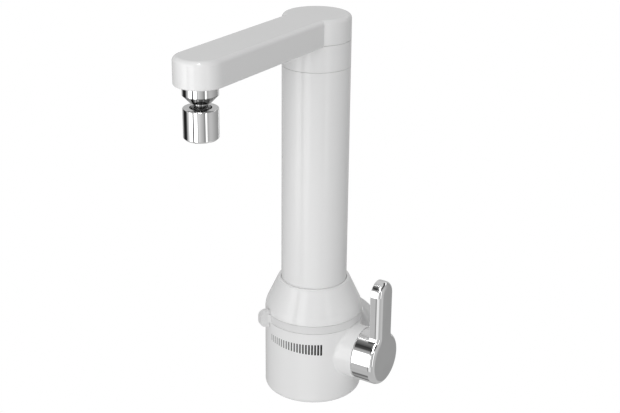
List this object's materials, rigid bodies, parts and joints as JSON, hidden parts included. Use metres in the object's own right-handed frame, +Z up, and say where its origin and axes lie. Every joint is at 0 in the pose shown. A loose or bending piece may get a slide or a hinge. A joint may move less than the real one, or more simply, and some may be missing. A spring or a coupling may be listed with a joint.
{
  "type": "electric water heater tap",
  "caption": "Wall-mounted electric instant water heater tap with a round base, selector band, tall column, swivel spout, ball-jointed aerator and side lever.",
  "frame": {"origin": "centre of the wall inlet on the wall plane", "axes": "+Y into the wall along the inlet, -Y the way the spout points at rest, +X towards the lever, +Z up along the column"},
  "size_m": [0.1022, 0.2314, 0.3043],
  "materials": {
    "white_plastic": "glossy white moulded plastic",
    "satin_plastic": "satin pale grey moulded plastic",
    "inner_plastic": "matt natural moulded plastic",
    "filter_plastic": "pale blue moulded plastic",
    "carbon": "pressed carbon block",
    "chrome": "bright chrome plate",
    "brass": "machined brass",
    "steel": "stainless steel",
    "ceramic": "sintered ceramic",
    "rubber": "black sealing rubber",
    "board_green": "green circuit board",
    "component_black": "black moulded components"
  },
  "bodies": {
    "body": {"base_housing": "white_plastic", "tie_screws": "steel", "wall_rosette": "white_plastic", "inlet_nipple": "brass", "inlet_gasket": "rubber", "inlet_strainer": "steel", "valve_body": "brass", "cartridge_seat": "rubber", "fixed_disc": "ceramic", "valve_cartridge": "brass", "cartridge_nut": "steel", "inner_frame": "inner_plastic", "heating_chamber": "steel", "chamber_gasket": "rubber", "chamber_lid": "steel", "lid_screws": "steel", "element_core": "ceramic", "heating_coil": "steel", "element_terminals": "brass", "thermal_cutout": "component_black", "control_board": "board_green", "board_parts": "component_black", "sensor_strip": "board_green", "terminal_block": "inner_plastic", "cable_gland": "rubber", "shroud": "white_plastic", "column_screws": "steel", "column_tube": "white_plastic", "filter_base": "inner_plastic", "filter_shell": "filter_plastic", "filter_media": "carbon", "filter_cap": "inner_plastic", "filter_seals": "rubber", "head_ring": "white_plastic", "swivel_post": "brass", "swivel_seals": "rubber"},
    "selector": {"selector_ring": "satin_plastic", "selector_magnet": "steel"},
    "lever": {"handle": "chrome", "handle_screw": "steel", "valve_stem": "brass", "stem_seals": "rubber", "moving_disc": "ceramic"},
    "spout": {"spout_shell": "white_plastic", "spout_floor": "white_plastic", "spout_waterway": "inner_plastic", "spout_screws": "steel", "retaining_ring": "steel", "aerator_cup": "chrome", "aerator_washer": "rubber"},
    "ball": {"aerator_ball": "chrome"},
    "nozzle": {"aerator_barrel": "chrome", "ball_seal": "rubber", "aerator_insert": "inner_plastic"}
  },
  "joints": [
    {"name": "selector_turn", "type": "hinge", "parent": "body", "child": "selector", "pos_m": [0, -0.062, 0.03525], "axis": [0, 0, 1], "range_deg": [0, 75]},
    {"name": "lever_turn", "type": "hinge", "parent": "body", "child": "lever", "pos_m": [0.0457, -0.062, 0.0133], "axis": [1, 0, 0], "range_deg": [0, 90]},
    {"name": "spout_swivel", "type": "hinge", "parent": "body", "child": "spout", "pos_m": [0, -0.062, 0.2541], "axis": [0, 0, 1], "range_deg": [-105, 105]},
    {"name": "aerator_spin", "type": "hinge", "parent": "spout", "child": "ball", "pos_m": [0, -0.2, 0.23235], "axis": [0, 0, 1], "continuous": true},
    {"name": "aerator_tilt", "type": "hinge", "parent": "ball", "child": "nozzle", "pos_m": [0, -0.2, 0.23235], "axis": [1, 0, 0], "range_deg": [-20, 20]}
  ]
}
